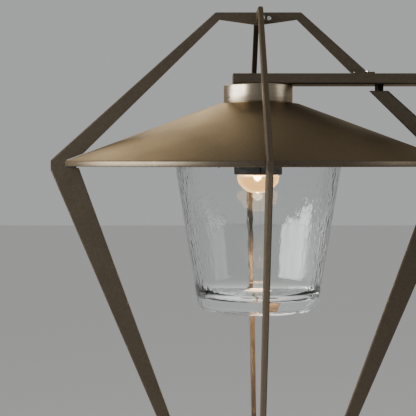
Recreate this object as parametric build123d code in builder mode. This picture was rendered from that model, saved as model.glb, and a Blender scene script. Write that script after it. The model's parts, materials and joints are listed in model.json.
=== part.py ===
"""Garden lantern on a bracket arm: four flat ribs round a conical shade, a clear glass and a lamp.

Frame: +Z up, +X towards the wall, origin at the centre of the wall plate's back face.
Heights of lantern pieces are taken from the top edge of the shade's rim, and radii from the
lantern's upright axis.
"""
import os
from math import atan, cos, radians, sin, tan

from build123d import *

# Metric screws: shank, the hole that the shank passes, and the hole that grips it
M3_R, M3_HOLE_R = 1.55, 1.6
M4_R, M4_HOLE_R, M4_THREAD_R = 1.95, 2.1, 2.0
M5_R, M5_HOLE_R, M5_THREAD_R = 2.45, 2.6, 2.5
M5_NUT_R, M5_NUT_H = 4.6, 3.5

# Where the lantern hangs
AXIS_X = -320.0          # lantern axis, out from the wall
ARM_Z = 27.0             # middle of the arm
ARM_OVER_RIM = 95.0      # arm's middle above the rim's top edge
RIM_Z = ARM_Z - ARM_OVER_RIM

# Shade and collar
RIM_R = 225.0
RIM_BAND = 6.0           # height of the rim's upright band
SHADE_TOP = 67.0         # flat top of the shade above the rim
CONE_RISE = 66.0         # rise of the cone from RIM_R to CONE_TOP_R
CONE_TOP_R = 50.0
SHADE_T = 2.0
SHADE_HOLE_R = 30.0
SHOULDER_R = 12.0        # rounding where the cone meets the flat top
RIM_EDGE_R = 1.5
COLLAR_R = 40.3
COLLAR_WALL = 7.0
COLLAR_LID = 4.0
COLLAR_EDGE_R = 1.2
COLLAR_THREAD_L = 9.0    # depth of the clamp screws' holes

# Arm: a flat rectangular tube
ARM_W = 40.0
ARM_H = 12.8
ARM_T = 2.0
ARM_CORNER_R = 2.5
ARM_BORE_CORNER_R = 0.6
CABLE_SLOT_L = 16.0      # the slots that let the cable into the arm and out of it
CABLE_SLOT_W = 9.0
ARM_END = 30.0           # free end, beyond the lantern axis
CAP_T = 2.0
CAP_PLUG = 8.0

# Wall fixing
PLATE_T = 6.0
PLATE_W = 80.0
PLATE_H = 150.0
PLATE_CORNER_R = 8.0
WALL_HOLE_R = 3.5
WALL_HOLES_Y = 56.0
WALL_HOLES_Z = 116.0
CABLE_ENTRY_R = 10.0
CABLE_ENTRY_Z = -26.0
COVER_W = 60.0
COVER_DEPTH = 37.0
COVER_T = 2.0
COVER_CORNER_R = 5.0
COVER_EDGE_R = 3.0
COVER_FOOT_Z = -46.0
GASKET_T = 1.0
PILLAR_Y = 21.0
PILLAR_Z = -14.0
PILLAR_R = 4.0
COVER_SCREW_GRIP = 8.0
TERMINAL_W = 30.0
TERMINAL_H = 18.0
TERMINAL_DEPTH = 17.0
TERMINAL_PITCH = 10.0
TERMINAL_ROWS = 9.0

# Ribs: plate laid in the upright planes through the axis
RIB_T = 6.0
RIB_TOP = 173.5
RIB_TOP_R = 50.0         # outer top corner
RIB_WAIST_R = 243.8      # widest corner
RIB_WAIST_TOP = 1.0
RIB_WAIST_FOOT = -11.0
RIB_EYE_R = 214.4        # inner corner at the shade's rim
RIB_EYE = 0.7
RIB_KNEE = -300.9        # where the inner edge turns a little more upright
RIB_KNEE_OUT_R = 121.0
RIB_KNEE_IN_R = 105.0
RIB_ARM_R = 45.3         # inner top corner
RIB_ARM_UNDER = 165.2
RIB_MID_UNDER = 158.8    # underside of the top arms at the axis
TONGUE_RISE = 14.0       # height of the tongue's inner end
EDGE_BREAK = 1.2         # chamfer along the ribs' outer edges
SLOT_GAP = 0.5           # slot's clearance round the shade's rim
SLOT_IN_R = 200.0        # inner end of the slot
PAD_T = 2.0
PAD_IN_R = 214.0
FOOT_T = 2.0
FOOT_IN_R = 110.0
FOOT_OUT_R = 135.0
FOOT_W = 30.0
FOOT_SCREW_R = 128.0
FOOT_SCREW_Y = 9.0
LOWER_RIB_TOP = 82.2
SPACER_AT_R = 142.0
SPACER_R = 5.0

# Top cleats
CLEAT_LEG = 16.0
CLEAT_T = 2.0
CLEAT_H = 8.0
CLEAT_MID = 166.0        # height of the cleats' middle
CLEAT_SCREW_R = 12.0     # screw, out from the axis
CLEAT_GRIP = 4.5         # depth of the blind holes in the ribs

# Bottom tip
HUB_R = 13.0
HUB_TOP = -528.0
HUB_FOOT = -566.0
TONGUE_R = 5.0           # ribs' tongues start here, inside the hub
TIP = -600.0
STUD_L = 36.0
STUD_IN_FINIAL = 13.0

# Glass
GLASS_MOUTH = 34.0
NECK_R = 99.8
NECK_FOOT = 8.0
GLASS_FOOT = -175.0
GLASS_FLOOR = -158.5
GLASS_WALL = 6.0
GLASS_SLOPE = 0.1625     # how fast the side narrows going down
GLASS_LIP_R = 2.0
HEEL_R = 11.0
FLOOR_FILLET = 14.0

# Gallery pan that carries the glass
PAN_R = 106.0
PAN_T = 2.0
PAN_TOP = 40.0
SKIRT_FOOT = 6.0
SKIRT_T = 2.0
PAN_HOLE_R = 8.0
PAN_EDGE_R = 3.0
GASKET_W = 12.0
THUMB_AT = 20.0          # height of the thumbscrews
THUMB_SHANK_R = 2.0
THUMB_SHANK_L = 11.0
THUMB_STOP_R = 3.5
THUMB_STOP_T = 3.0
THUMB_HEAD_R = 6.0
THUMB_HEAD_L = 9.0
KNURL_R = 0.55
KNURLS = 18
THUMB_GAP = 0.3
RUNNING = 0.05           # radial clearance of a running fit
THUMB_ANGLES = {"a": 90, "b": 210, "c": 330}

# Clamp ring and pillars under the shade's top
RING_T = 4.0
RING_R = 40.0
RING_HOLE_R = 24.0
RING_SCREW_AT = 36.8
SPACER_PILLAR_AT = 34.0
PILLAR_ANGLES = (90, 210, 330)
RING_SCREW_ANGLES = (30, 150, 270)

# Lamp on the axis
LAMP_R = 25.0
LENS_DEPTH = 22.0
LENS_TOP = -16.0
LAMP_TOP = 16.0
LAMP_NECK_R = 12.0
PIN_R = 0.8
PIN_PITCH = 5.3
PIN_L = 7.0
HOLDER_R = 11.0
HOLDER_TOP = 34.0
HOLDER_PLATE_R = 19.0
HOLDER_PLATE_HOLE_R = 3.0
CAN_R = 28.5
CAN_T = 1.5
CAN_FOOT = -15.5
CAN_FLANGE_R = 40.0
CAN_FLANGE_T = 2.0
CAN_SLOTS = 8
CAN_SLOT_L = 18.0
CAN_SLOT_W = 4.0
CAN_SLOT_AT = 18.0

# Cable, held wholly inside
CABLE_R = 2.0
CABLE_BEND = 12.0
CABLE_START_X = -18.0
BUSH_R = 6.5
BUSH_BORE_R = 4.0
BUSH_LIP = 1.5
BOLT_X = 14.0            # collar bolts, from the axis
BOLT_Y = 11.0

CONE_ANGLE = atan(CONE_RISE / (RIM_R - CONE_TOP_R))
CONE_SLOPE = tan(CONE_ANGLE)
RISE_T = SHADE_T / cos(CONE_ANGLE)               # shade's thickness, measured upright
AXIS = Axis((AXIS_X, 0, 0), (0, 0, 1))
ARM_TOP = ARM_Z + ARM_H / 2
ARM_UNDER = ARM_Z - ARM_H / 2
COLLAR_FOOT = RIM_Z + SHADE_TOP
PROFILE = Plane(origin=(AXIS_X, 0, RIM_Z), x_dir=(1, 0, 0), z_dir=(0, -1, 0))


def cone_height(radius):
    """Height of the cone's outer face over the rim's top edge."""
    return (RIM_R - radius) * CONE_SLOPE


def level(height):
    """Horizontal plane on the lantern's axis, at a height over the rim."""
    return Plane(origin=(AXIS_X, 0, RIM_Z + height))


def around(radius, angle, height, facing=1):
    """Horizontal plane away from the axis, facing up or down."""
    turn = radians(angle)
    centre = (AXIS_X + radius * cos(turn), radius * sin(turn), RIM_Z + height)
    return Plane(origin=centre, x_dir=(1, 0, 0), z_dir=(0, 0, facing))


def upright(angle):
    """Upright plane through the axis: its x runs outwards and its y runs up."""
    turn = radians(angle)
    outwards = (cos(turn), sin(turn), 0)
    return Plane(origin=(AXIS_X, 0, RIM_Z), x_dir=outwards, z_dir=(sin(turn), -cos(turn), 0))


def facing_out(angle, radius, height, x_dir=None):
    """Upright plane square to a radius, that faces away from the axis."""
    radial = upright(angle)
    return Plane(origin=radial.from_local_coords((radius, height, 0)), x_dir=x_dir, z_dir=radial.x_dir)


def along_arm(x):
    """Upright plane square to the arm, facing the wall."""
    return Plane(origin=(x, 0, 0), x_dir=(0, 1, 0), z_dir=(1, 0, 0))


def turned(points, rounded=()):
    """Solid of revolution about the lantern's axis, with some corners of its outline rounded."""
    with BuildPart() as body:
        with BuildSketch(PROFILE) as outline:
            with BuildLine():
                Polyline(*points, close=True)
            make_face()
            for corner, radius in rounded:
                spot = Vector(AXIS_X + points[corner][0], 0, RIM_Z + points[corner][1])
                local = PROFILE.to_local_coords(spot)
                fillet(outline.vertices().sort_by_distance(local)[0], radius)
        revolve(axis=AXIS)
    return body


def screws(planes, head_r, head_h, shank_r, shank_l):
    """Button-head screws: each plane lies under a head and faces the way the head points."""
    with BuildPart() as group:
        for plane in planes:
            with BuildSketch(plane):
                Circle(head_r)
            extrude(amount=head_h)
            with BuildSketch(plane):
                Circle(shank_r)
            extrude(amount=-shank_l)
            top = plane.offset(head_h)
            rim = group.edges().filter_by(GeomType.CIRCLE).sort_by_distance(top.origin)
            fillet([edge for edge in rim if abs(edge.radius - head_r) < 0.01][0], head_h * 0.6)
            with BuildSketch(top):
                RegularPolygon(head_r * 0.5, 6)
            extrude(amount=-head_h * 0.6, mode=Mode.SUBTRACT)
    return group


pieces = {}

# ---------------------------------------------------------------- shade and collar
rim_in = RIM_R - SHADE_T
flat_in = RIM_R - (SHADE_TOP - SHADE_T + RISE_T) / CONE_SLOPE
flat_out = RIM_R - SHADE_TOP / CONE_SLOPE
shade_blank = turned(
    [
        (RIM_R, -RIM_BAND), (RIM_R, 0), (flat_out, SHADE_TOP), (SHADE_HOLE_R, SHADE_TOP),
        (SHADE_HOLE_R, SHADE_TOP - SHADE_T), (flat_in, SHADE_TOP - SHADE_T),
        (rim_in, cone_height(rim_in) - RISE_T), (rim_in, -RIM_BAND),
    ],
    rounded=[(2, SHOULDER_R), (5, SHOULDER_R - SHADE_T), (1, RIM_EDGE_R)],
)
with BuildPart() as shade:
    add(shade_blank.part)
    for angle in RING_SCREW_ANGLES:
        with BuildSketch(around(RING_SCREW_AT, angle, SHADE_TOP - SHADE_T)):
            Circle(M4_HOLE_R)
        extrude(amount=SHADE_T, mode=Mode.SUBTRACT)
pieces["shade"] = shade

collar_in = COLLAR_R - COLLAR_WALL
with BuildPart() as collar:
    with BuildSketch(level(SHADE_TOP)):
        Circle(COLLAR_R)
    extrude(amount=ARM_UNDER - COLLAR_FOOT)
    fillet(collar.edges().group_by(Axis.Z)[-1], COLLAR_EDGE_R)
    with BuildSketch(level(SHADE_TOP)):
        Circle(collar_in)
    extrude(amount=ARM_UNDER - COLLAR_FOOT - COLLAR_LID, mode=Mode.SUBTRACT)
    with BuildSketch(Plane(origin=(AXIS_X, 0, ARM_UNDER))):
        Circle(BUSH_R)
        with GridLocations(2 * BOLT_X, 2 * BOLT_Y, 2, 2):
            Circle(M5_HOLE_R)
    extrude(amount=-COLLAR_LID, mode=Mode.SUBTRACT)
    for angle in RING_SCREW_ANGLES:
        with BuildSketch(around(RING_SCREW_AT, angle, SHADE_TOP)):
            Circle(M4_THREAD_R)
        extrude(amount=COLLAR_THREAD_L, mode=Mode.SUBTRACT)
pieces["collar"] = collar

ring_top = SHADE_TOP - SHADE_T
ring_foot = ring_top - RING_T
with BuildPart() as clamp_ring:
    with BuildSketch(level(ring_foot)):
        Circle(RING_R)
        Circle(RING_HOLE_R, mode=Mode.SUBTRACT)
    extrude(amount=RING_T)
    for angle in RING_SCREW_ANGLES:
        with BuildSketch(around(RING_SCREW_AT, angle, ring_foot)):
            Circle(M4_HOLE_R)
        extrude(amount=RING_T, mode=Mode.SUBTRACT)
    for angle in PILLAR_ANGLES:
        with BuildSketch(around(SPACER_PILLAR_AT, angle, ring_foot)):
            Circle(M3_HOLE_R)
        extrude(amount=RING_T, mode=Mode.SUBTRACT)
pieces["clamp_ring"] = clamp_ring

pieces["clamp_screws"] = screws(
    [around(RING_SCREW_AT, angle, ring_foot, facing=-1) for angle in RING_SCREW_ANGLES],
    head_r=3.2, head_h=2.0, shank_r=M4_R, shank_l=RING_T + SHADE_T + COLLAR_THREAD_L - 1,
)

# ---------------------------------------------------------------- gallery pan for the glass
pan_under = PAN_TOP - PAN_T
skirt_in = PAN_R - SKIRT_T
pan_blank = turned(
    [
        (PAN_HOLE_R, pan_under), (skirt_in, pan_under), (skirt_in, SKIRT_FOOT),
        (PAN_R, SKIRT_FOOT), (PAN_R, PAN_TOP), (PAN_HOLE_R, PAN_TOP),
    ],
    rounded=[(4, PAN_EDGE_R)],
)
with BuildPart() as gallery_pan:
    add(pan_blank.part)
    for angle in PILLAR_ANGLES:
        with BuildSketch(around(SPACER_PILLAR_AT, angle, pan_under)):
            Circle(M3_HOLE_R)
        extrude(amount=PAN_T, mode=Mode.SUBTRACT)
    for angle in THUMB_ANGLES.values():
        with BuildSketch(facing_out(angle, skirt_in - SKIRT_T, THUMB_AT)):
            Circle(THUMB_SHANK_R + RUNNING)
        extrude(amount=3 * SKIRT_T, mode=Mode.SUBTRACT)
pieces["gallery_pan"] = gallery_pan

with BuildPart() as pan_spacers:
    for angle in PILLAR_ANGLES:
        with BuildSketch(around(SPACER_PILLAR_AT, angle, PAN_TOP)):
            Circle(PILLAR_R)
            Circle(M3_HOLE_R, mode=Mode.SUBTRACT)
        extrude(amount=ring_foot - PAN_TOP)
pieces["pan_spacers"] = pan_spacers

can_top = pan_under
can_flange = can_top - CAN_FLANGE_T
pieces["pan_screws"] = screws(
    [around(SPACER_PILLAR_AT, angle, can_flange, facing=-1) for angle in PILLAR_ANGLES],
    head_r=2.8, head_h=1.8, shank_r=M3_R, shank_l=ring_top - can_flange,
)

for mark, angle in THUMB_ANGLES.items():
    shank = facing_out(angle, NECK_R + THUMB_GAP, THUMB_AT)
    with BuildPart() as thumbscrew:
        with BuildSketch(shank):
            Circle(THUMB_SHANK_R)
        extrude(amount=THUMB_SHANK_L)
        with BuildSketch(shank.offset(THUMB_SHANK_L)):
            Circle(THUMB_STOP_R)
        extrude(amount=-THUMB_STOP_T)
        with BuildSketch(shank.offset(THUMB_SHANK_L)):
            Circle(THUMB_HEAD_R)
            with PolarLocations(THUMB_HEAD_R, KNURLS):
                Circle(KNURL_R, mode=Mode.SUBTRACT)
        extrude(amount=THUMB_HEAD_L)
    pieces[f"thumbscrew_{mark}"] = thumbscrew

# ---------------------------------------------------------------- glass
foot_r = NECK_R - GLASS_SLOPE * (NECK_FOOT - GLASS_FOOT)
floor_r = NECK_R - GLASS_WALL - GLASS_SLOPE * (NECK_FOOT - GLASS_FLOOR)
pieces["glass"] = turned(
    [
        (0, GLASS_FOOT), (foot_r, GLASS_FOOT), (NECK_R, NECK_FOOT), (NECK_R, GLASS_MOUTH),
        (NECK_R - GLASS_WALL, GLASS_MOUTH), (NECK_R - GLASS_WALL, NECK_FOOT), (floor_r, GLASS_FLOOR),
        (0, GLASS_FLOOR),
    ],
    rounded=[(1, HEEL_R), (6, FLOOR_FILLET), (3, GLASS_LIP_R), (4, GLASS_LIP_R)],
)
gasket_r = skirt_in - THUMB_GAP
pieces["glass_gasket"] = turned(
    [
        (gasket_r - GASKET_W, GLASS_MOUTH + THUMB_GAP), (gasket_r, GLASS_MOUTH + THUMB_GAP),
        (gasket_r, pan_under), (gasket_r - GASKET_W, pan_under),
    ],
)

# ---------------------------------------------------------------- lamp, its can and its holder
can_blank = turned(
    [
        (CAN_R - CAN_T, CAN_FOOT), (CAN_R, CAN_FOOT), (CAN_R, can_flange),
        (CAN_FLANGE_R, can_flange), (CAN_FLANGE_R, can_top), (CAN_R - CAN_T, can_top),
    ],
)
with BuildPart() as lamp_can:
    add(can_blank.part)
    for angle in PILLAR_ANGLES:
        with BuildSketch(around(SPACER_PILLAR_AT, angle, can_flange)):
            Circle(M3_HOLE_R)
        extrude(amount=CAN_FLANGE_T, mode=Mode.SUBTRACT)
    for step in range(CAN_SLOTS):
        with BuildSketch(facing_out(step * 360 / CAN_SLOTS, CAN_R - 2 * CAN_T, CAN_SLOT_AT, (0, 0, 1))):
            SlotOverall(CAN_SLOT_L, CAN_SLOT_W)
        extrude(amount=4 * CAN_T, mode=Mode.SUBTRACT)
pieces["lamp_can"] = lamp_can

with BuildPart() as holder_plate:
    with BuildSketch(level(HOLDER_TOP)):
        Circle(HOLDER_PLATE_R)
        Circle(HOLDER_PLATE_HOLE_R, mode=Mode.SUBTRACT)
    extrude(amount=pan_under - HOLDER_TOP)
pieces["holder_plate"] = holder_plate

lamp_gap = 0.3
with BuildPart() as lampholder:
    with BuildSketch(level(LAMP_TOP + lamp_gap)):
        Circle(HOLDER_R)
    extrude(amount=HOLDER_TOP - LAMP_TOP - lamp_gap)
    fillet(lampholder.edges().group_by(Axis.Z)[0], 1.5)
    with BuildSketch(level(LAMP_TOP + lamp_gap)):
        with GridLocations(PIN_PITCH, 1, 2, 1):
            Circle(PIN_R + RUNNING)
    extrude(amount=PIN_L + 1, mode=Mode.SUBTRACT)
pieces["lampholder"] = lampholder

pieces["lamp_body"] = turned(
    [
        (0, LENS_TOP), (LAMP_R, LENS_TOP), (LAMP_R, LENS_TOP + 5), (LAMP_NECK_R + 2, LAMP_TOP - 7),
        (LAMP_NECK_R, LAMP_TOP - 6), (LAMP_NECK_R, LAMP_TOP), (0, LAMP_TOP),
    ],
)

lens_face = Plane(origin=(AXIS_X, 0, RIM_Z + LENS_TOP), x_dir=(1, 0, 0), z_dir=(0, -1, 0))
with BuildPart() as lamp_lens:
    with BuildSketch(lens_face):
        Ellipse(LAMP_R, LENS_DEPTH)
        with Locations((0, LENS_DEPTH / 2)):
            Rectangle(3 * LAMP_R, LENS_DEPTH, mode=Mode.SUBTRACT)
        with Locations((-LAMP_R, 0)):
            Rectangle(2 * LAMP_R, 3 * LENS_DEPTH, mode=Mode.SUBTRACT)
    revolve(axis=AXIS)
pieces["lamp_lens"] = lamp_lens

with BuildPart() as lamp_pins:
    with BuildSketch(level(LAMP_TOP)):
        with GridLocations(PIN_PITCH, 1, 2, 1):
            Circle(PIN_R)
    extrude(amount=PIN_L)
pieces["lamp_pins"] = lamp_pins


# ---------------------------------------------------------------- ribs
def rib_inner_r(height):
    """Radius of the ribs' inner edge, its two straight stretches carried on past their ends."""
    end_r, end = (RIB_ARM_R, RIB_ARM_UNDER) if height > RIB_EYE else (RIB_KNEE_IN_R, RIB_KNEE)
    return RIB_EYE_R + (height - RIB_EYE) * (end_r - RIB_EYE_R) / (end - RIB_EYE)


def is_rim_edge(edge, angle):
    """Whether an edge of a rib's flat side is a long one on the outside of the cage."""
    middle = upright(angle).to_local_coords(edge.center())
    on_outside = middle.X > rib_inner_r(middle.Y) + RIB_T / 2 or middle.Y > RIB_TOP - 1
    return on_outside and edge.length > 2 * HUB_R


def rib(angle, inner_r, low=None, high=None):
    """One rib plate, or the part of it over low or under high, drawn out and up from the axis.

    Its screw hole is blind and opens to the cleat, which is behind the left rib and so on round."""
    out_slope = (RIB_WAIST_R - RIB_KNEE_OUT_R) / (RIB_WAIST_FOOT - RIB_KNEE)
    tongue_out = HUB_R - 1
    tongue_h = RIB_KNEE - (RIB_KNEE_OUT_R - tongue_out) / out_slope
    slot_r = RIM_R + SLOT_GAP
    slot_foot = -RIM_BAND - PAD_T
    slot_top = 3 * SLOT_GAP
    cleat_side = round(cos(radians(2 * angle)))
    beyond = (4 * RIB_WAIST_R, 4 * RIB_WAIST_R)
    with BuildPart() as plate:
        with BuildSketch(upright(angle)):
            with BuildLine():
                Polyline(
                    (inner_r, RIB_TOP), (RIB_TOP_R, RIB_TOP), (RIB_WAIST_R, RIB_WAIST_TOP),
                    (RIB_WAIST_R, RIB_WAIST_FOOT), (RIB_KNEE_OUT_R, RIB_KNEE), (tongue_out, tongue_h),
                    (tongue_out, HUB_FOOT), (TONGUE_R, HUB_FOOT), (TONGUE_R, tongue_h + TONGUE_RISE),
                    (RIB_KNEE_IN_R, RIB_KNEE), (RIB_EYE_R, RIB_EYE), (RIB_ARM_R, RIB_ARM_UNDER),
                    (inner_r, RIB_MID_UNDER), close=True,
                )
            make_face()
            with BuildLine():
                Polyline(
                    (slot_r, slot_foot), (slot_r, slot_top),
                    (SLOT_IN_R, cone_height(SLOT_IN_R) + slot_top), (SLOT_IN_R, slot_foot), close=True,
                )
            make_face(mode=Mode.SUBTRACT)
            if low is not None:
                with Locations((0, low)):
                    Rectangle(*beyond, align=(Align.CENTER, Align.MAX), mode=Mode.SUBTRACT)
            if high is not None:
                with Locations((0, high)):
                    Rectangle(*beyond, align=(Align.CENTER, Align.MIN), mode=Mode.SUBTRACT)
        extrude(amount=RIB_T / 2, both=True)
        side = upright(angle).z_dir
        flat_faces = [face for face in plate.faces() if abs(face.normal_at().dot(side)) > 0.99]
        flat_edges = [edge for face in flat_faces for edge in face.outer_wire().edges()]
        chamfer([edge for edge in flat_edges if is_rim_edge(edge, angle)], EDGE_BREAK)
        if high is None:
            with BuildSketch(upright(angle).offset(cleat_side * RIB_T / 2)):
                with Locations((CLEAT_SCREW_R, CLEAT_MID)):
                    Circle(M3_HOLE_R)
            extrude(amount=-cleat_side * CLEAT_GRIP, mode=Mode.SUBTRACT)
    return plate


pieces["rib_left"] = rib(180, 0)
pieces["rib_front"] = rib(270, RIB_T / 2)
pieces["rib_back"] = rib(90, RIB_T / 2)
arm_top_h = ARM_TOP - RIM_Z
pieces["rib_right_upper"] = rib(0, 0, low=arm_top_h + FOOT_T)
pieces["rib_right_lower"] = rib(0, 0, high=LOWER_RIB_TOP)

with BuildPart() as rim_pads:
    for angle in range(0, 360, 90):
        with BuildSketch(upright(angle)):
            with Locations((RIM_R + SLOT_GAP, -RIM_BAND)):
                Rectangle(RIM_R + SLOT_GAP - PAD_IN_R, PAD_T, align=(Align.MAX, Align.MAX))
        extrude(amount=RIB_T / 2, both=True)
pieces["rim_pads"] = rim_pads

foot_mid = (FOOT_IN_R + FOOT_OUT_R) / 2
foot_screw_spots = [(FOOT_SCREW_R - foot_mid, side * FOOT_SCREW_Y) for side in (-1, 1)]
with BuildPart() as rib_foot:
    with BuildSketch(Plane(origin=(AXIS_X + foot_mid, 0, ARM_TOP))):
        RectangleRounded(FOOT_OUT_R - FOOT_IN_R, FOOT_W, 2)
        with Locations(*foot_screw_spots):
            Circle(M4_HOLE_R, mode=Mode.SUBTRACT)
    extrude(amount=FOOT_T)
pieces["rib_foot"] = rib_foot

pieces["foot_screws"] = screws(
    [Plane(origin=(AXIS_X + FOOT_SCREW_R, side * FOOT_SCREW_Y, ARM_TOP + FOOT_T)) for side in (-1, 1)],
    head_r=3.4, head_h=2.2, shank_r=M4_R, shank_l=FOOT_T + ARM_T + 3,
)

with BuildPart() as arm_spacer:
    with BuildSketch(Plane(origin=(AXIS_X + SPACER_AT_R, 0, RIM_Z + LOWER_RIB_TOP))):
        Circle(SPACER_R)
    extrude(amount=ARM_UNDER - RIM_Z - LOWER_RIB_TOP)
pieces["arm_spacer"] = arm_spacer

# ---------------------------------------------------------------- top cleats
half_t = RIB_T / 2
cleat_quadrants = ((1, -1), (-1, 1))             # front right and back left corners
with BuildPart() as corner_cleats:
    for sx, sy in cleat_quadrants:
        with BuildSketch(level(CLEAT_MID - CLEAT_H / 2)):
            with BuildLine():
                Polyline(
                    (sx * half_t, sy * half_t), (sx * (half_t + CLEAT_LEG), sy * half_t),
                    (sx * (half_t + CLEAT_LEG), sy * (half_t + CLEAT_T)),
                    (sx * (half_t + CLEAT_T), sy * (half_t + CLEAT_T)),
                    (sx * (half_t + CLEAT_T), sy * (half_t + CLEAT_LEG)),
                    (sx * half_t, sy * (half_t + CLEAT_LEG)), close=True,
                )
            make_face()
        extrude(amount=CLEAT_H)
        for direction, place in (
            ((0, sy, 0), (sx * CLEAT_SCREW_R, sy * half_t)),
            ((sx, 0, 0), (sx * half_t, sy * CLEAT_SCREW_R)),
        ):
            seat = Plane(origin=(AXIS_X + place[0], place[1], RIM_Z + CLEAT_MID), z_dir=direction)
            with BuildSketch(seat):
                Circle(M3_HOLE_R)
            extrude(amount=CLEAT_T, mode=Mode.SUBTRACT)
pieces["corner_cleats"] = corner_cleats

cleat_seats = []
outer_face = half_t + CLEAT_T
for sx, sy in cleat_quadrants:
    across = (AXIS_X + sx * CLEAT_SCREW_R, sy * outer_face, RIM_Z + CLEAT_MID)
    along = (AXIS_X + sx * outer_face, sy * CLEAT_SCREW_R, RIM_Z + CLEAT_MID)
    cleat_seats.append(Plane(origin=across, z_dir=(0, sy, 0)))
    cleat_seats.append(Plane(origin=along, z_dir=(sx, 0, 0)))
pieces["cleat_screws"] = screws(
    cleat_seats, head_r=2.7, head_h=1.7, shank_r=M3_R, shank_l=CLEAT_T + CLEAT_GRIP - 0.5,
)

# ---------------------------------------------------------------- bottom tip
with BuildPart() as tip_hub:
    with BuildSketch(level(HUB_FOOT)):
        Circle(HUB_R)
    extrude(amount=HUB_TOP - HUB_FOOT)
    fillet(tip_hub.edges().group_by(Axis.Z)[-1], 2)
    for angle in range(0, 360, 90):
        with BuildSketch(upright(angle)):
            with Locations((TONGUE_R + HUB_R, (HUB_FOOT + HUB_TOP) / 2)):
                Rectangle(2 * HUB_R, HUB_TOP - HUB_FOOT + 2)
        extrude(amount=RIB_T / 2, both=True, mode=Mode.SUBTRACT)
    with BuildSketch(level(HUB_FOOT)):
        Circle(M5_THREAD_R)
    extrude(amount=STUD_L - STUD_IN_FINIAL + 1, mode=Mode.SUBTRACT)
pieces["tip_hub"] = tip_hub

finial_blank = turned(
    [
        (0, TIP), (2.5, TIP), (5, TIP + 4), (5, TIP + 8), (9, TIP + 14), (HUB_R, HUB_FOOT - 5),
        (HUB_R, HUB_FOOT), (0, HUB_FOOT),
    ],
    rounded=[(1, 1.2), (2, 2.0), (5, 3.0), (6, 0.8)],
)
with BuildPart() as tip_finial:
    add(finial_blank.part)
    with BuildSketch(level(HUB_FOOT)):
        Circle(M5_THREAD_R)
    extrude(amount=-STUD_IN_FINIAL - 1, mode=Mode.SUBTRACT)
pieces["tip_finial"] = tip_finial

with BuildPart() as tip_stud:
    with BuildSketch(level(HUB_FOOT - STUD_IN_FINIAL)):
        Circle(M5_R)
    extrude(amount=STUD_L)
pieces["tip_stud"] = tip_stud

# ---------------------------------------------------------------- arm
arm_far = AXIS_X - ARM_END + CAP_T
bore_w = ARM_W - 2 * ARM_T
bore_h = ARM_H - 2 * ARM_T
slot_shift = 3.0                                 # each slot leans to the cable's bend
with BuildPart() as arm:
    with BuildSketch(along_arm(arm_far)):
        with Locations((0, ARM_Z)):
            RectangleRounded(ARM_W, ARM_H, ARM_CORNER_R)
            RectangleRounded(bore_w, bore_h, ARM_BORE_CORNER_R, mode=Mode.SUBTRACT)
    extrude(amount=-PLATE_T - arm_far)
    with BuildSketch(Plane(origin=(AXIS_X, 0, ARM_UNDER))):
        with Locations((slot_shift, 0), (CABLE_START_X - slot_shift - AXIS_X, 0)):
            SlotOverall(CABLE_SLOT_L, CABLE_SLOT_W)
        with GridLocations(2 * BOLT_X, 2 * BOLT_Y, 2, 2):
            Circle(M5_HOLE_R)
    extrude(amount=ARM_T, mode=Mode.SUBTRACT)
    with BuildSketch(Plane(origin=(AXIS_X + FOOT_SCREW_R, 0, ARM_TOP))):
        with GridLocations(1, 2 * FOOT_SCREW_Y, 1, 2):
            Circle(M4_HOLE_R)
    extrude(amount=-ARM_T, mode=Mode.SUBTRACT)
pieces["arm"] = arm

with BuildPart() as arm_end_cap:
    with BuildSketch(along_arm(arm_far)):
        with Locations((0, ARM_Z)):
            RectangleRounded(ARM_W, ARM_H, ARM_CORNER_R)
    extrude(amount=-CAP_T)
    with BuildSketch(along_arm(arm_far)):
        with Locations((0, ARM_Z)):
            RectangleRounded(bore_w - 4 * RUNNING, bore_h - 4 * RUNNING, ARM_BORE_CORNER_R)
    extrude(amount=CAP_PLUG)
pieces["arm_end_cap"] = arm_end_cap

bolt_spots = [(sx * BOLT_X, sy * BOLT_Y) for sx in (-1, 1) for sy in (-1, 1)]
pieces["arm_bolts"] = screws(
    [
        Plane(origin=(AXIS_X + x, y, ARM_UNDER - COLLAR_LID), z_dir=(0, 0, -1), x_dir=(1, 0, 0))
        for x, y in bolt_spots
    ],
    head_r=4.4, head_h=2.8, shank_r=M5_R, shank_l=COLLAR_LID + ARM_T + M5_NUT_H + 0.5,
)
with BuildPart() as arm_nuts:
    for x, y in bolt_spots:
        with BuildSketch(Plane(origin=(AXIS_X + x, y, ARM_UNDER + ARM_T))):
            RegularPolygon(M5_NUT_R, 6)
            Circle(M5_THREAD_R, mode=Mode.SUBTRACT)
        extrude(amount=M5_NUT_H)
pieces["arm_nuts"] = arm_nuts

bush_top = ARM_UNDER - RIM_Z
lid_under = bush_top - COLLAR_LID
pieces["cable_bush"] = turned(
    [
        (BUSH_BORE_R, lid_under - BUSH_LIP), (BUSH_R + BUSH_LIP, lid_under - BUSH_LIP),
        (BUSH_R + BUSH_LIP, lid_under), (BUSH_R - RUNNING, lid_under),
        (BUSH_R - RUNNING, bush_top), (BUSH_BORE_R, bush_top),
    ],
)

# ---------------------------------------------------------------- wall fixing
with BuildPart() as wall_plate:
    with BuildSketch(along_arm(-PLATE_T)):
        RectangleRounded(PLATE_W, PLATE_H, PLATE_CORNER_R)
        with GridLocations(WALL_HOLES_Y, WALL_HOLES_Z, 2, 2):
            Circle(WALL_HOLE_R, mode=Mode.SUBTRACT)
        with Locations((0, CABLE_ENTRY_Z)):
            Circle(CABLE_ENTRY_R, mode=Mode.SUBTRACT)
    extrude(amount=PLATE_T)
    chamfer(wall_plate.faces().sort_by(Axis.X)[0].outer_wire().edges(), 1)
pieces["wall_plate"] = wall_plate

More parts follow.
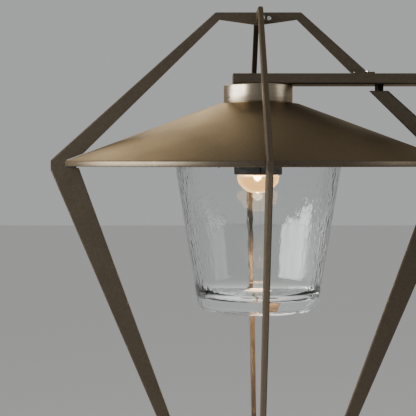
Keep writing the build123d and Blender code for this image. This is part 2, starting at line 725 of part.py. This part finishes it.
cover_h = ARM_UNDER - COVER_FOOT_Z
cover_mid_z = (ARM_UNDER + COVER_FOOT_Z) / 2
gasket_face = -PLATE_T - GASKET_T
cover_front = gasket_face - COVER_DEPTH
cover_in_r = COVER_CORNER_R - COVER_T
with BuildPart() as cover_gasket:
    with BuildSketch(along_arm(gasket_face)):
        with Locations((0, cover_mid_z)):
            RectangleRounded(COVER_W, cover_h, COVER_CORNER_R)
            RectangleRounded(
                COVER_W - 4 * COVER_T, cover_h - 4 * COVER_T, cover_in_r, mode=Mode.SUBTRACT,
            )
    extrude(amount=GASKET_T)
pieces["cover_gasket"] = cover_gasket

with BuildPart() as wall_cover:
    with BuildSketch(along_arm(gasket_face)):
        with Locations((0, cover_mid_z)):
            RectangleRounded(COVER_W, cover_h, COVER_CORNER_R)
    extrude(amount=-COVER_DEPTH)
    fillet(wall_cover.faces().sort_by(Axis.X)[0].outer_wire().edges(), COVER_EDGE_R)
    with BuildSketch(along_arm(gasket_face)):
        with Locations((0, cover_mid_z)):
            RectangleRounded(COVER_W - 2 * COVER_T, cover_h - 2 * COVER_T, cover_in_r)
    extrude(amount=-COVER_DEPTH + COVER_T, mode=Mode.SUBTRACT)
    with BuildSketch(Plane(origin=(CABLE_START_X, 0, ARM_UNDER - COVER_T))):
        Rectangle(CABLE_SLOT_L - 2, CABLE_SLOT_W)
    extrude(amount=COVER_T, mode=Mode.SUBTRACT)
    with BuildSketch(along_arm(cover_front)):
        with Locations((-PILLAR_Y, PILLAR_Z), (PILLAR_Y, PILLAR_Z)):
            Circle(M4_HOLE_R)
    extrude(amount=COVER_T, mode=Mode.SUBTRACT)
pieces["wall_cover"] = wall_cover

with BuildPart() as cover_pillars:
    with BuildSketch(along_arm(cover_front + COVER_T)):
        with Locations((-PILLAR_Y, PILLAR_Z), (PILLAR_Y, PILLAR_Z)):
            Circle(PILLAR_R)
    extrude(amount=-PLATE_T - cover_front - COVER_T)
    with BuildSketch(along_arm(cover_front + COVER_T)):
        with Locations((-PILLAR_Y, PILLAR_Z), (PILLAR_Y, PILLAR_Z)):
            Circle(M4_THREAD_R)
    extrude(amount=COVER_SCREW_GRIP + 2, mode=Mode.SUBTRACT)
pieces["cover_pillars"] = cover_pillars

pieces["cover_screws"] = screws(
    [
        Plane(origin=(cover_front, side * PILLAR_Y, PILLAR_Z), x_dir=(0, 1, 0), z_dir=(-1, 0, 0))
        for side in (-1, 1)
    ],
    head_r=3.6, head_h=2.2, shank_r=M4_R, shank_l=COVER_T + COVER_SCREW_GRIP,
)

with BuildPart() as terminal_block:
    with BuildSketch(along_arm(-PLATE_T)):
        Rectangle(TERMINAL_W, TERMINAL_H)
    extrude(amount=-TERMINAL_DEPTH)
    with BuildSketch(along_arm(-PLATE_T - TERMINAL_DEPTH)):
        with GridLocations(TERMINAL_PITCH, TERMINAL_ROWS, 3, 2):
            Circle(M4_HOLE_R)
    extrude(amount=3, mode=Mode.SUBTRACT)
pieces["terminal_block"] = terminal_block

# ---------------------------------------------------------------- cable inside the arm
cable_points = [
    (CABLE_START_X, 0, 9), (CABLE_START_X, 0, ARM_Z), (AXIS_X, 0, ARM_Z), (AXIS_X, 0, RIM_Z + HOLDER_TOP)
]
with BuildPart() as supply_cable:
    with BuildLine() as cable_route:
        FilletPolyline(*cable_points, radius=CABLE_BEND)
    with BuildSketch(Plane(origin=cable_points[0], z_dir=(0, 0, 1))):
        Circle(CABLE_R)
    sweep(path=cable_route.wires()[0])
pieces["supply_cable"] = supply_cable

os.makedirs("parts", exist_ok=True)
for name, piece in pieces.items():
    piece.part.label = name
    export_step(piece.part, f"parts/{name}.step")
print("cable bend radius", CABLE_BEND, "mm, length", round(cable_route.wires()[0].length, 1), "mm")
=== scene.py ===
"""Garden lantern on a bracket arm: its looks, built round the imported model.

Lengths are in metres unless a name ends in _MM. Lantern pieces are drawn as (radius, height) in
millimetres, from the lantern's upright axis and the top edge of the shade's rim.
"""
import json
from math import atan2, cos, hypot, pi, radians, sin, tan, tau

import bmesh
import bpy
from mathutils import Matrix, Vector, noise


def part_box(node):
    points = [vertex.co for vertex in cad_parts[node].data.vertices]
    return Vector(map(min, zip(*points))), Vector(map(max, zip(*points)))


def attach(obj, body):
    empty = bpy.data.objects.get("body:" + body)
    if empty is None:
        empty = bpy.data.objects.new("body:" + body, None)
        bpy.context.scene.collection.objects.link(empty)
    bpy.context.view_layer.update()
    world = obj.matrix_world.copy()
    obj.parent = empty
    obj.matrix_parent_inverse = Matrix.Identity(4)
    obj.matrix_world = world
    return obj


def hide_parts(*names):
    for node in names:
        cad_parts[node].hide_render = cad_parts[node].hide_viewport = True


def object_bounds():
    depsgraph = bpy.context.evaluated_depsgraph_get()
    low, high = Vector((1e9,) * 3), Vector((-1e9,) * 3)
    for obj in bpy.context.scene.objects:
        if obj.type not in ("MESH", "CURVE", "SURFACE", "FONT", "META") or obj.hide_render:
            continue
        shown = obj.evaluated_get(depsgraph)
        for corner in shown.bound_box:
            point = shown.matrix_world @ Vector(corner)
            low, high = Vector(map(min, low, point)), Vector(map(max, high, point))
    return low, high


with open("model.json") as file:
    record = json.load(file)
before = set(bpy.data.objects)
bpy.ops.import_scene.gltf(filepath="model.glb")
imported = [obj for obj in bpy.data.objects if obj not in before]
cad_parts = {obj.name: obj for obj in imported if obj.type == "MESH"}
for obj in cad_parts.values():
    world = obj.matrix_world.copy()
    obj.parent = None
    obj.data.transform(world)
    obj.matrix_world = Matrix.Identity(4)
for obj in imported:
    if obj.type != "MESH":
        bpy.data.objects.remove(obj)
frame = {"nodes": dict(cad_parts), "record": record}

MM = 0.001
CAD_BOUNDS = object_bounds()

# ------------------------------------------------------------------ places read from the frame
RIM_BAND_MM = 6.0
shade_low, shade_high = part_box("shade")
AXIS_X = (shade_low.x + shade_high.x) / 2
RIM_Z = shade_low.z + RIM_BAND_MM * MM


def height_mm(z):
    """Height over the rim's top edge, in millimetres."""
    return (z - RIM_Z) / MM


# ------------------------------------------------------------------ materials
def link(tree, out_node, out_socket, in_node, in_socket):
    tree.links.new(out_node.outputs[out_socket], in_node.inputs[in_socket])


def new_material(name, colour, metallic=0.0, roughness=0.5, **sockets):
    """A Principled material. Extra sockets are named with _ for a space."""
    material = bpy.data.materials.new(name)
    material.use_nodes = True
    shader = material.node_tree.nodes["Principled BSDF"]
    shader.inputs["Base Color"].default_value = (*colour, 1.0)
    shader.inputs["Metallic"].default_value = metallic
    shader.inputs["Roughness"].default_value = roughness
    for socket, value in sockets.items():
        shader.inputs[socket.replace("_", " ")].default_value = value
    return material, material.node_tree, shader


def noise_node(tree, scale, detail=2.0, rough=0.5, stretch=(1, 1, 1)):
    """A noise pattern on the piece's own coordinates, stretched along an axis if asked."""
    place = tree.nodes.new("ShaderNodeTexCoord")
    mapping = tree.nodes.new("ShaderNodeMapping")
    mapping.inputs["Scale"].default_value = stretch
    mapping.inputs["Location"].default_value = (-AXIS_X * stretch[0], 0, 0)
    pattern = tree.nodes.new("ShaderNodeTexNoise")
    pattern.inputs["Scale"].default_value = scale
    pattern.inputs["Detail"].default_value = detail
    pattern.inputs["Roughness"].default_value = rough
    link(tree, place, "Object", mapping, "Vector")
    link(tree, mapping, "Vector", pattern, "Vector")
    return pattern


def colour_by(tree, pattern, shader, dark, light, low=0.35, high=0.65):
    """The base colour goes from dark to light with the pattern. Gives the colour ramp."""
    ramp = tree.nodes.new("ShaderNodeValToRGB")
    ramp.color_ramp.elements[0].position = low
    ramp.color_ramp.elements[1].position = high
    ramp.color_ramp.elements[0].color = (*dark, 1)
    ramp.color_ramp.elements[1].color = (*light, 1)
    link(tree, pattern, "Fac", ramp, "Fac")
    link(tree, ramp, "Color", shader, "Base Color")
    return ramp


def rough_by(tree, pattern, shader, low, high):
    """The roughness runs from low to high with the pattern."""
    span = tree.nodes.new("ShaderNodeMapRange")
    span.inputs["To Min"].default_value = low
    span.inputs["To Max"].default_value = high
    link(tree, pattern, "Fac", span, "Value")
    link(tree, span, "Result", shader, "Roughness")


def bump_by(tree, patterns, shader, distance):
    """Bumps from a list of (pattern, strength), one on another. Gives the last bump."""
    last = None
    for pattern, strength in patterns:
        bump = tree.nodes.new("ShaderNodeBump")
        bump.inputs["Strength"].default_value = strength
        bump.inputs["Distance"].default_value = distance
        link(tree, pattern, "Fac", bump, "Height")
        if last is not None:
            link(tree, last, "Normal", bump, "Normal")
        last = bump
    link(tree, last, "Normal", shader, "Normal")
    return last


def powder_coat(name, dark, light, roughness=0.40):
    """Metallic powder coat: fine grain, a slight cloudiness and an orange-peel skin."""
    material, tree, shader = new_material(name, light, metallic=0.95, roughness=roughness)
    shader.inputs["Specular Tint"].default_value = EDGE_TINT
    grain = noise_node(tree, scale=520, detail=4, rough=0.65)
    colour_by(tree, grain, shader, dark, light)
    cloud = noise_node(tree, scale=28, detail=3)
    rough_by(tree, cloud, shader, roughness - 0.06, roughness + 0.08)
    peel = noise_node(tree, scale=900, detail=2)
    bump_by(tree, [(peel, 0.12), (grain, 0.06)], shader, distance=0.0002)
    return material


def turned_metal(name, dark, light, roughness=0.28):
    """Metal with fine lathe lines round the lantern's axis and a satin lacquer."""
    material, tree, shader = new_material(name, light, metallic=1.0, roughness=roughness)
    shader.inputs["Specular Tint"].default_value = EDGE_TINT
    lines = noise_node(tree, scale=90, detail=3, rough=0.6, stretch=(0.25, 0.25, 26))
    colour_by(tree, lines, shader, dark, light)
    cloud = noise_node(tree, scale=40, detail=2)
    rough_by(tree, cloud, shader, roughness - 0.05, roughness + 0.07)
    bump_by(tree, [(lines, 0.25)], shader, distance=0.00008)
    return material


def steel(name, colour, roughness=0.3):
    material, tree, shader = new_material(name, colour, metallic=1.0, roughness=roughness)
    brushed = noise_node(tree, scale=700, detail=3, stretch=(1, 1, 0.2))
    rough_by(tree, brushed, shader, roughness - 0.08, roughness + 0.12)
    bump_by(tree, [(brushed, 0.15)], shader, distance=0.00005)
    return material


def rubber(name, colour):
    material, tree, shader = new_material(name, colour, roughness=0.7)
    grain = noise_node(tree, scale=800, detail=3)
    colour_by(tree, grain, shader, tuple(c * 0.7 for c in colour), tuple(c * 1.4 for c in colour))
    bump_by(tree, [(grain, 0.3)], shader, distance=0.0001)
    return material


def ceramic(name, colour):
    material, tree, shader = new_material(name, colour, roughness=0.55)
    grain = noise_node(tree, scale=350, detail=4)
    colour_by(tree, grain, shader, tuple(c * 0.88 for c in colour), colour)
    bump_by(tree, [(grain, 0.2)], shader, distance=0.0001)
    return material


def by_distance_aside(tree, near, far, near_value, far_value):
    """A number that goes from near_value to far_value between two distances left or right of the axis."""
    place = tree.nodes.new("ShaderNodeTexCoord")
    split = tree.nodes.new("ShaderNodeSeparateXYZ")
    from_axis = tree.nodes.new("ShaderNodeMath")
    from_axis.operation = "SUBTRACT"
    from_axis.inputs[1].default_value = AXIS_X
    aside = tree.nodes.new("ShaderNodeMath")
    aside.operation = "ABSOLUTE"
    span = tree.nodes.new("ShaderNodeMapRange")
    span.inputs["From Min"].default_value = near
    span.inputs["From Max"].default_value = far
    span.inputs["To Min"].default_value = near_value
    span.inputs["To Max"].default_value = far_value
    link(tree, place, "Object", split, "Vector")
    link(tree, split, "X", from_axis, 0)
    link(tree, from_axis, "Value", aside, 0)
    link(tree, aside, "Value", span, "Value")
    return span


def hand_made_glass(name):
    """Clear glass drawn into fine upright ripples, more on its two sides than on its front and back."""
    material, tree, shader = new_material(name, (0.97, 0.99, 0.985), roughness=0.0)
    shader.inputs["IOR"].default_value = GLASS_IOR
    shader.inputs["Transmission Weight"].default_value = 1.0
    ripples = noise_node(tree, scale=300, detail=0.6, stretch=(1, 1, 0.3))
    bump = bump_by(tree, [(ripples, 0.5)], shader, distance=0.0006)
    strength = by_distance_aside(tree, near=0.030, far=0.055, near_value=0.05, far_value=0.5)
    link(tree, strength, "Result", bump, "Strength")
    return material


def frosted_dome(name):
    """Clear plastic dome, lightly frosted, with faint rings moulded into it."""
    material, tree, shader = new_material(name, (1.0, 0.84, 0.60), roughness=0.16)
    shader.inputs["IOR"].default_value = LENS_IOR
    shader.inputs["Transmission Weight"].default_value = 1.0
    shader.inputs["Emission Color"].default_value = (1.0, 0.52, 0.15, 1)
    shader.inputs["Emission Strength"].default_value = 0.75
    rings = noise_node(tree, scale=60, detail=1, stretch=(0.05, 0.05, 12))
    bump_by(tree, [(rings, 0.25)], shader, distance=0.0004)
    return material


def glowing(name, dark, light, strength, scale):
    """A lit face, mottled by the light dots behind it."""
    material, tree, shader = new_material(name, light, roughness=0.5)
    dots = noise_node(tree, scale=scale, detail=1)
    ramp = colour_by(tree, dots, shader, dark, light)
    link(tree, ramp, "Color", shader, "Emission Color")
    shader.inputs["Emission Strength"].default_value = strength
    return material


def pontil_glass(name):
    """The fire-dulled patch in the middle of the glass's floor."""
    material, tree, shader = new_material(name, (0.98, 0.97, 0.95), roughness=0.42)
    shader.inputs["IOR"].default_value = GLASS_IOR
    shader.inputs["Transmission Weight"].default_value = 0.35
    rough = noise_node(tree, scale=260, detail=3)
    rough_by(tree, rough, shader, 0.3, 0.55)
    bump_by(tree, [(rough, 0.5)], shader, distance=0.0003)
    return material


EDGE_TINT = (0.80, 0.66, 0.48, 1)     # bronze stays warm at a glancing angle
GLASS_IOR = 1.5
LENS_IOR = 1.45

bronze = powder_coat("bronze_coat", dark=(0.098, 0.079, 0.057), light=(0.128, 0.104, 0.076))
satin = turned_metal("bronze_satin", dark=(0.24, 0.20, 0.145), light=(0.34, 0.288, 0.22))
black = powder_coat("black_coat", dark=(0.008, 0.008, 0.008), light=(0.018, 0.017, 0.016), roughness=0.5)
bright_steel = steel("bright_steel", (0.66, 0.65, 0.62))
brass = steel("satin_brass", (0.50, 0.36, 0.17), roughness=0.34)
lamp_metal = steel("lamp_metal", (0.42, 0.42, 0.42), roughness=0.45)
black_rubber = rubber("black_rubber", (0.018, 0.018, 0.018))
white_ceramic = ceramic("white_ceramic", (0.82, 0.79, 0.73))
clear_glass = hand_made_glass("clear_glass")
warm_lens = frosted_dome("lamp_lens")
lit_plate = glowing("lit_plate", dark=(1.0, 0.58, 0.22), light=(1.0, 0.72, 0.38), strength=12.0, scale=260)
lit_chip = glowing("lit_chip", dark=(1.0, 0.80, 0.52), light=(1.0, 0.90, 0.70), strength=40.0, scale=400)
lit_cup = glowing("lit_cup", dark=(0.80, 0.40, 0.13), light=(1.0, 0.62, 0.30), strength=3.0, scale=120)
dull_glass = pontil_glass("dull_glass")

FINISHES = {
    "bronze_coat": bronze, "bronze_satin": satin, "black_coat": black, "steel": bright_steel,
    "brass": brass, "lamp_metal": lamp_metal, "black_rubber": black_rubber, "ceramic": white_ceramic,
    "clear_glass": clear_glass, "lamp_lens": warm_lens,
}
SLOT_OF = {part["node"]: part["material_slot"] for part in frame["record"]["subparts"]}
BODY_OF = {node: body for body, nodes in frame["record"]["behaviour"]["bodies"].items() for node in nodes}


# ------------------------------------------------------------------ shared mesh work
def make_piece(name, bm, node, sharp_deg=35.0, replace=True, material=None, flat_over_mm2=None):
    """Turns a bmesh into a piece that stands for a CAD node, or rides with it as an extra.

    Faces larger than flat_over_mm2 are shaded flat, so that only the rounded edges between them blend.
    """
    for face in bm.faces:
        face.smooth = flat_over_mm2 is None or face.calc_area() < flat_over_mm2 * MM * MM
    for edge in bm.edges:
        edge.smooth = len(edge.link_faces) == 2 and edge.calc_face_angle() < radians(sharp_deg)
    mesh = bpy.data.meshes.new(name)
    bm.to_mesh(mesh)
    bm.free()
    mesh.materials.append(material or FINISHES[SLOT_OF[node]])
    piece = bpy.data.objects.new(name, mesh)
    bpy.context.scene.collection.objects.link(piece)
    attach(piece, BODY_OF[node])
    if replace:
        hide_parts(node)
    return piece


def outline_wire(points, rounded, closed):
    """A wire in the axis's upright plane. rounded gives (corner, length cut from each side, segments)."""
    bm = bmesh.new()
    verts = [bm.verts.new((AXIS_X + r * MM, 0, RIM_Z + h * MM)) for r, h in points]
    ends = verts[1:] + verts[:1] if closed else verts[1:]
    for a, b in zip(verts, ends):
        bm.edges.new((a, b))
    for corner, cut_mm, segments in rounded:
        bmesh.ops.bevel(
            bm, geom=[verts[corner]], offset=cut_mm * MM, segments=segments, profile=0.5,
            affect="VERTICES", material=-1,
        )
    return bm


def split_long(bm, longest_mm):
    """Divides the wire's long runs, so that a soft surface can follow them."""
    for edge in list(bm.edges):
        cuts = int(edge.calc_length() / (longest_mm * MM))
        if cuts:
            bmesh.ops.subdivide_edges(bm, edges=[edge], cuts=cuts)


def spin_round(bm, steps):
    """Spins a wire once round the lantern's axis and closes the seam."""
    bmesh.ops.spin(
        bm, geom=bm.verts[:] + bm.edges[:], cent=(AXIS_X, 0, 0), axis=(0, 0, 1), angle=tau,
        steps=steps, use_merge=True,
    )
    bmesh.ops.remove_doubles(bm, verts=bm.verts, dist=0.00001)
    bmesh.ops.recalc_face_normals(bm, faces=bm.faces)
    return bm


def merged_copy(node):
    """A CAD node's mesh as a clean bmesh: doubles merged and flat faces joined."""
    bm = bmesh.new()
    bm.from_mesh(frame["nodes"][node].data)
    bmesh.ops.remove_doubles(bm, verts=bm.verts, dist=0.00002)
    bmesh.ops.dissolve_limit(bm, angle_limit=radians(0.5), verts=bm.verts, edges=bm.edges)
    return bm


def soften(bm, width_mm, segments=2, over_deg=20.0):
    """Rounds every crisp edge a little, as a file and the coat leave it."""
    crisp = [e for e in bm.edges if len(e.link_faces) == 2 and e.calc_face_angle() > radians(over_deg)]
    bmesh.ops.bevel(
        bm, geom=crisp, offset=width_mm * MM, segments=segments, profile=0.5, affect="EDGES",
        material=-1, clamp_overlap=True,
    )
    return bm


# ------------------------------------------------------------------ plates: ribs, foot, cleats, wall end
FLAT_OVER_MM2 = 20.0     # faces larger than this are the plates' flats

for node, width_mm in (
    ("rib_left", 0.35), ("rib_front", 0.35), ("rib_back", 0.35), ("rib_right_upper", 0.35),
    ("rib_right_lower", 0.35), ("rib_foot", 0.4), ("corner_cleats", 0.3), ("wall_plate", 0.4),
    ("arm", 0.4), ("arm_end_cap", 0.3), ("wall_cover", 0.4),
):
    make_piece(f"{node}_plate", soften(merged_copy(node), width_mm), node, flat_over_mm2=FLAT_OVER_MM2)



# ------------------------------------------------------------------ shade
def cone_height(radius_mm):
    return (RIM_R_MM - radius_mm) * CONE_SLOPE


RIM_R_MM = 225.0
SHADE_TOP_MM = 67.0
SHADE_T_MM = 2.0
SHADE_HOLE_MM = 30.0
CONE_SLOPE = 66.0 / 175.0
RISE_T_MM = SHADE_T_MM * hypot(1, CONE_SLOPE)
flat_out = RIM_R_MM - SHADE_TOP_MM / CONE_SLOPE
flat_in = RIM_R_MM - (SHADE_TOP_MM - SHADE_T_MM + RISE_T_MM) / CONE_SLOPE
rim_in = RIM_R_MM - SHADE_T_MM
shade_wire = outline_wire(
    [
        (RIM_R_MM, -RIM_BAND_MM), (RIM_R_MM, 0), (flat_out, SHADE_TOP_MM), (SHADE_HOLE_MM, SHADE_TOP_MM),
        (SHADE_HOLE_MM, SHADE_TOP_MM - SHADE_T_MM), (flat_in, SHADE_TOP_MM - SHADE_T_MM),
        (rim_in, cone_height(rim_in) - RISE_T_MM), (rim_in, -RIM_BAND_MM),
    ],
    rounded=[(0, 0.7, 3), (1, 1.0, 4), (2, 2.6, 6), (5, 2.0, 5), (7, 0.7, 3)],
    closed=True,
)
make_piece("shade_cone", spin_round(shade_wire, steps=200), "shade")

# ------------------------------------------------------------------ collar
collar_low, collar_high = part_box("collar")
COLLAR_R_MM = 40.3
COLLAR_IN_R_MM = 33.3
CABLE_HOLE_R_MM = 6.5
COLLAR_TOP_T_MM = 4.0
foot_h, top_h = height_mm(collar_low.z), height_mm(collar_high.z)
collar_wire = outline_wire(
    [
        (COLLAR_R_MM, foot_h), (COLLAR_R_MM, top_h), (CABLE_HOLE_R_MM, top_h),
        (CABLE_HOLE_R_MM, top_h - COLLAR_TOP_T_MM), (COLLAR_IN_R_MM, top_h - COLLAR_TOP_T_MM),
        (COLLAR_IN_R_MM, foot_h),
    ],
    rounded=[(0, 0.5, 2), (1, 1.3, 4)],
    closed=True,
)
make_piece("collar_cap", spin_round(collar_wire, steps=128), "collar")

# ------------------------------------------------------------------ glass
GLASS_WALL_MM = 6.0
GLASS_SLOPE = 0.1625
NECK_FOOT_MM = 8.0
NECK_R_MM = 99.8
FLOOR_MM = -158.5
glass_low, glass_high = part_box("glass")
mouth_h, base_h = height_mm(glass_high.z), height_mm(glass_low.z)


AXIS_CLEAR_MM = 4.0      # nothing this near the axis is moved
NECK_CLEAR_MM = 24.0     # the neck stays round this far down from the mouth, to fit the gallery
FADE_MM = 20.0
FLOOR_R_MM = 52.0
FLOOR_RISE_MM = 0.8
FLOOR_STEPS = 52


def ripple(bm):
    """Uneven, hand-drawn walls: slow swells and finer upright drags, more inside than outside."""
    for vert in bm.verts:
        dx, dy = vert.co.x - AXIS_X, vert.co.y
        reach = hypot(dx, dy)
        if reach < AXIS_CLEAR_MM * MM:
            continue
        turn = atan2(dy, dx)
        h = height_mm(vert.co.z)
        fade = min(1.0, max(0.0, (mouth_h - NECK_CLEAR_MM - h) / FADE_MM))
        wall = NECK_R_MM * MM - GLASS_SLOPE * (NECK_FOOT_MM - min(h, NECK_FOOT_MM)) * MM
        inside = reach < wall - GLASS_WALL_MM * MM * 0.5
        slow = noise.noise(Vector((cos(turn) * 2.3, sin(turn) * 2.3, h / 70)))
        drag = noise.noise(Vector((cos(turn) * 11, sin(turn) * 11, h / 55 + 7)))
        shift = (0.20 * slow + 0.08 * drag) if inside else (-0.07 + 0.05 * drag)
        vert.co.x += dx / reach * shift * MM * fade
        vert.co.y += dy / reach * shift * MM * fade


def floor_point(step):
    """A point of the floor's shallow dish, with the rings that the making left in it."""
    radius = FLOOR_R_MM * (1 - step / FLOOR_STEPS)
    ring = 0.22 * sin(radius * 0.95) + 0.10 * sin(radius * 2.3)
    dish = FLOOR_RISE_MM * (1 - radius / FLOOR_R_MM)
    return radius, FLOOR_MM + dish + (ring if step < FLOOR_STEPS else 0)


glass_wire = outline_wire(
    [
        (0, base_h + 1.2), (40, base_h + 0.9), (56, base_h),
        (NECK_R_MM - GLASS_SLOPE * (NECK_FOOT_MM - base_h), base_h), (NECK_R_MM, NECK_FOOT_MM),
        (NECK_R_MM, mouth_h), (NECK_R_MM - GLASS_WALL_MM, mouth_h), (NECK_R_MM - GLASS_WALL_MM, NECK_FOOT_MM),
        (NECK_R_MM - GLASS_WALL_MM - GLASS_SLOPE * (NECK_FOOT_MM - FLOOR_MM), FLOOR_MM),
    ] + [floor_point(step) for step in range(FLOOR_STEPS + 1)],
    rounded=[(3, 10, 8), (5, 2, 3), (6, 2, 3), (8, 17, 9), (2, 4, 3)],
    closed=False,
)
split_long(glass_wire, longest_mm=4.0)
glass_mesh = spin_round(glass_wire, steps=240)
ripple(glass_mesh)
glass = make_piece("glass_tumbler", glass_mesh, "glass", sharp_deg=60)

# rings and a dull patch left in the floor when the glass was made
PONTIL_OUTLINE_MM = (       # radius, height over the floor
    (0, 1.0), (3.5, 1.6), (6, 1.1), (9, 1.5), (12, 1.0), (15, 1.2), (17, 0.85), (17, 0.9), (0, 0.9),
)
pontil_wire = outline_wire(
    [(radius, FLOOR_MM + over) for radius, over in PONTIL_OUTLINE_MM], rounded=[], closed=False,
)
make_piece("glass_pontil", spin_round(pontil_wire, steps=96), "glass", replace=False, material=dull_glass)

# ------------------------------------------------------------------ lamp lens
LAMP_R_MM = 25.0
LENS_TOP_MM = -16.0
LENS_DEPTH_MM = 22.0
LENS_SET_MM = 1.2        # the dome sits this far under the lamp's front, over its lit parts
LENS_STEPS = 24
CHIP_OUTLINE_MM = ((0, 0), (3.8, 0), (3.6, 1.5), (2.8, 3.2), (1.4, 4.4), (0, 4.8))    # radius, depth
CHIP_ROOM_R_MM = 4.8
PLATE_R_MM = 15.0
CUP_IN_R_MM, CUP_OUT_R_MM = 15.3, 24.2


def lens_point(step):
    turn = step / LENS_STEPS * pi / 2
    return LAMP_R_MM * cos(turn), LENS_TOP_MM - LENS_SET_MM - (LENS_DEPTH_MM - LENS_SET_MM) * sin(turn)


dome_top = LENS_TOP_MM - LENS_SET_MM
lens_wire = outline_wire(
    [(0, dome_top), (LAMP_R_MM, dome_top)] + [lens_point(step) for step in range(1, LENS_STEPS + 1)],
    rounded=[], closed=False,
)
make_piece("lamp_dome", spin_round(lens_wire, steps=128), "lamp_lens", sharp_deg=50)


def lamp_ring(name, in_r, out_r, thick_mm, material):
    """A flat ring on the lamp's front, over the dome."""
    low = LENS_TOP_MM - thick_mm
    points = [(in_r, LENS_TOP_MM), (out_r, LENS_TOP_MM), (out_r, low), (in_r, low)]
    wire = outline_wire(points, rounded=[], closed=True)
    return make_piece(name, spin_round(wire, steps=96), "lamp_lens", replace=False, material=material)


chip_wire = outline_wire(
    [(radius, LENS_TOP_MM - depth) for radius, depth in CHIP_OUTLINE_MM], rounded=[], closed=False,
)
make_piece("lamp_light_chip", spin_round(chip_wire, steps=48), "lamp_lens", replace=False, material=lit_chip)
lamp_ring("lamp_light_plate", CHIP_ROOM_R_MM, PLATE_R_MM, 1.0, lit_plate)
lamp_ring("lamp_light_cup", CUP_IN_R_MM, CUP_OUT_R_MM, 0.6, lit_cup)

# ------------------------------------------------------------------ finishes of the CAD nodes that stay
for node, cad in frame["nodes"].items():
    cad.data.materials.clear()
    cad.data.materials.append(FINISHES[SLOT_OF[node]])

# ------------------------------------------------------------------ floor, lights and camera
FLOOR_DROP = 1.3         # the lantern hangs over the floor, as on its wall
FLOOR_SIZE = 60.0
floor_mesh = bmesh.new()
bmesh.ops.create_grid(floor_mesh, x_segments=1, y_segments=1, size=FLOOR_SIZE / 2)
bmesh.ops.translate(floor_mesh, verts=floor_mesh.verts, vec=(AXIS_X, 0, CAD_BOUNDS[0].z - FLOOR_DROP))
floor_data = bpy.data.meshes.new("floor")
floor_mesh.to_mesh(floor_data)
floor_mesh.free()
floor_data.materials.append(new_material("pale_floor", (0.80, 0.79, 0.77), roughness=0.7)[0])
floor = bpy.data.objects.new("floor", floor_data)
bpy.context.scene.collection.objects.link(floor)


def softbox(name, turn_deg, rise_deg, half_turn_deg, half_rise_deg, brightness):
    """An area light that faces the lantern, sized by the angles that it fills as seen from there.

    turn is measured from the front, positive to the left."""
    data = bpy.data.lights.new(name, "AREA")
    data.shape = "RECTANGLE"
    data.size = 2 * LIGHT_DISTANCE * tan(radians(half_turn_deg))
    data.size_y = 2 * LIGHT_DISTANCE * tan(radians(half_rise_deg))
    data.energy = brightness * pi * data.size * data.size_y      # so brightness is the face's radiance
    lamp = bpy.data.objects.new(name, data)
    bpy.context.scene.collection.objects.link(lamp)
    turn, rise = radians(turn_deg), radians(rise_deg)
    away = Vector((-sin(turn) * cos(rise), -cos(turn) * cos(rise), sin(rise)))
    lamp.location = Vector((AXIS_X, 0, RIM_Z)) + away * LIGHT_DISTANCE
    lamp.rotation_mode = "QUATERNION"
    lamp.rotation_quaternion = away.to_track_quat("Z", "Y")
    return lamp


LIGHT_DISTANCE = 2.6
softbox("key", turn_deg=84, rise_deg=8, half_turn_deg=24, half_rise_deg=14, brightness=15)
softbox("window", turn_deg=52, rise_deg=10, half_turn_deg=5, half_rise_deg=10, brightness=26)
softbox("back", turn_deg=167, rise_deg=31, half_turn_deg=12, half_rise_deg=10, brightness=5)
softbox("fill", turn_deg=-80, rise_deg=10, half_turn_deg=16, half_rise_deg=14, brightness=2)

lens_low, lens_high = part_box("lamp_lens")
beam_data = bpy.data.lights.new("lamp_beam", "SPOT")
beam_data.energy = 2.5
beam_data.color = (1.0, 0.66, 0.36)
beam_data.shadow_soft_size = 0.012
beam_data.spot_size = radians(150)
beam_data.spot_blend = 0.8
beam = bpy.data.objects.new("lamp_beam", beam_data)
beam.location = (AXIS_X, 0, lens_low.z - 0.002)
bpy.context.scene.collection.objects.link(beam)
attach(beam, "lamp")
# the beam is not stopped at the glass
unshaded = bpy.data.collections.new("lets_the_beam_through")
unshaded.objects.link(glass)
unshaded.collection_objects[0].light_linking.link_state = "EXCLUDE"
beam.light_linking.blocker_collection = unshaded

world = bpy.data.worlds.new("studio")
world.use_nodes = True
bpy.context.scene.world = world
world.node_tree.nodes["Background"].inputs["Color"].default_value = (0.42, 0.425, 0.43, 1)
world.node_tree.nodes["Background"].inputs["Strength"].default_value = 1.0

CAMERA_TURN = radians(2.8)
CAMERA_DISTANCE = 1.25
AIM_LEFT = radians(2.70)
AIM_DOWN = radians(2.54)
camera_data = bpy.data.cameras.new("camera")
camera_data.sensor_width = 36.0
camera_data.lens = 91.7
camera_data.clip_end = 200
camera = bpy.data.objects.new("camera", camera_data)
camera.location = (
    AXIS_X - sin(CAMERA_TURN) * CAMERA_DISTANCE, -cos(CAMERA_TURN) * CAMERA_DISTANCE, RIM_Z
)
camera.rotation_euler = (pi / 2 - AIM_DOWN, 0, AIM_LEFT - CAMERA_TURN)
bpy.context.scene.collection.objects.link(camera)
bpy.context.scene.camera = camera

bpy.context.view_layer.update()
